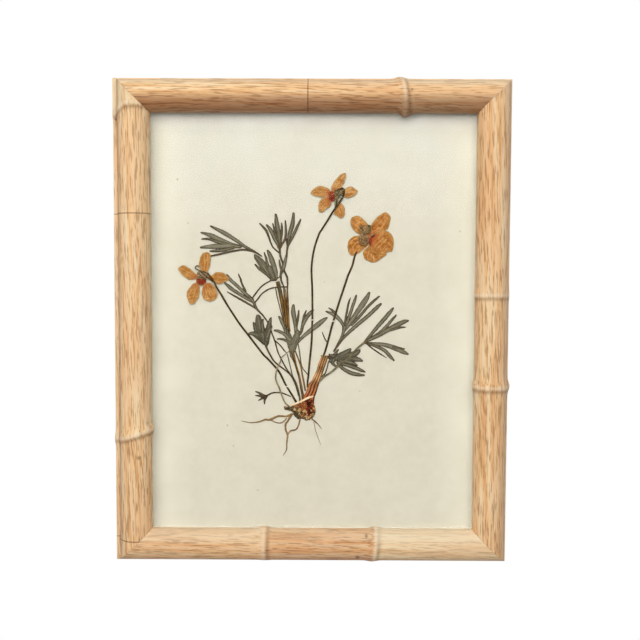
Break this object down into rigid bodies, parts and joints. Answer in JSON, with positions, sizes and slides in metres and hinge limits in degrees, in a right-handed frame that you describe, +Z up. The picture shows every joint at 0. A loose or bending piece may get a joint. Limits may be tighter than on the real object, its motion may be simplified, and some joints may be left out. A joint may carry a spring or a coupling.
{
  "type": "pressed flower frame",
  "caption": "Glazed wall frame with half-round, bamboo-carved oak rails around a whole pressed and dried plant on cream paper.",
  "frame": {"origin": "where the wall nail meets the hanger's middle notch, on the wall plane", "axes": "+Z up, +X to the viewer's right, +Y into the wall, so the picture faces -Y"},
  "size_m": [0.3303, 0.0266, 0.4043],
  "materials": {
    "oak": "satin oil, open pores",
    "clear_glass": "clear, gloss",
    "cream_paper": "matte, faintly mottled",
    "fibreboard": "matte",
    "spacer_card": "matte",
    "zinc_steel": "satin zinc plating",
    "pale_petal": "dry, thin, translucent",
    "deep_petal": "dry, thin, wrinkled",
    "dry_leaf": "dry, matte",
    "dark_leaf": "dry, matte",
    "dry_stem": "dry, matte",
    "stalk_fibre": "dry, fibrous",
    "red_sheath": "dry, papery",
    "dry_root": "dry, rough",
    "linen_thread": "matte thread"
  },
  "bodies": {
    "root": {"backing_board": "fibreboard", "crown_strap": "linen_thread", "flower_stem_left": "dry_stem", "flower_stem_middle": "dry_stem", "flower_stem_right": "dry_stem", "framing_point_1": "zinc_steel", "framing_point_2": "zinc_steel", "framing_point_3": "zinc_steel", "framing_point_4": "zinc_steel", "glass_pane": "clear_glass", "hanger_nail_left": "zinc_steel", "hanger_nail_right": "zinc_steel", "hanger_plate": "zinc_steel", "leaf_basal_small": "dark_leaf", "leaf_centre": "dry_leaf", "leaf_centre_left": "dry_leaf", "leaf_dark_left": "dark_leaf", "leaf_far_right": "dry_leaf", "leaf_low_right": "dark_leaf", "leaf_narrow_left": "dry_leaf", "leaf_sheath": "red_sheath", "leaf_top": "dry_leaf", "leaf_upper_left": "dry_leaf", "leaf_upper_middle": "dry_leaf", "leaf_upper_right": "dry_leaf", "mount_paper": "cream_paper", "petal_left_1": "pale_petal", "petal_left_2": "pale_petal", "petal_left_3": "pale_petal", "petal_left_4": "pale_petal", "petal_left_5": "pale_petal", "petal_middle_1": "pale_petal", "petal_middle_2": "pale_petal", "petal_middle_3": "pale_petal", "petal_middle_4": "pale_petal", "petal_middle_5": "pale_petal", "petal_right_1": "deep_petal", "petal_right_2": "deep_petal", "petal_right_3": "deep_petal", "petal_right_4": "deep_petal", "petal_right_5": "deep_petal", "rail_bottom": "oak", "rail_left": "oak", "rail_right": "oak", "rail_top": "oak", "root_crown": "dry_root", "root_curl": "dry_root", "root_down": "dry_root", "root_left": "dry_root", "root_right": "dry_root", "spacer_bottom": "spacer_card", "spacer_left": "spacer_card", "spacer_right": "spacer_card", "spacer_top": "spacer_card", "stalk_bundle": "stalk_fibre", "stitch_left": "linen_thread", "stitch_middle": "linen_thread", "stitch_right": "linen_thread"}
  },
  "joints": []
}
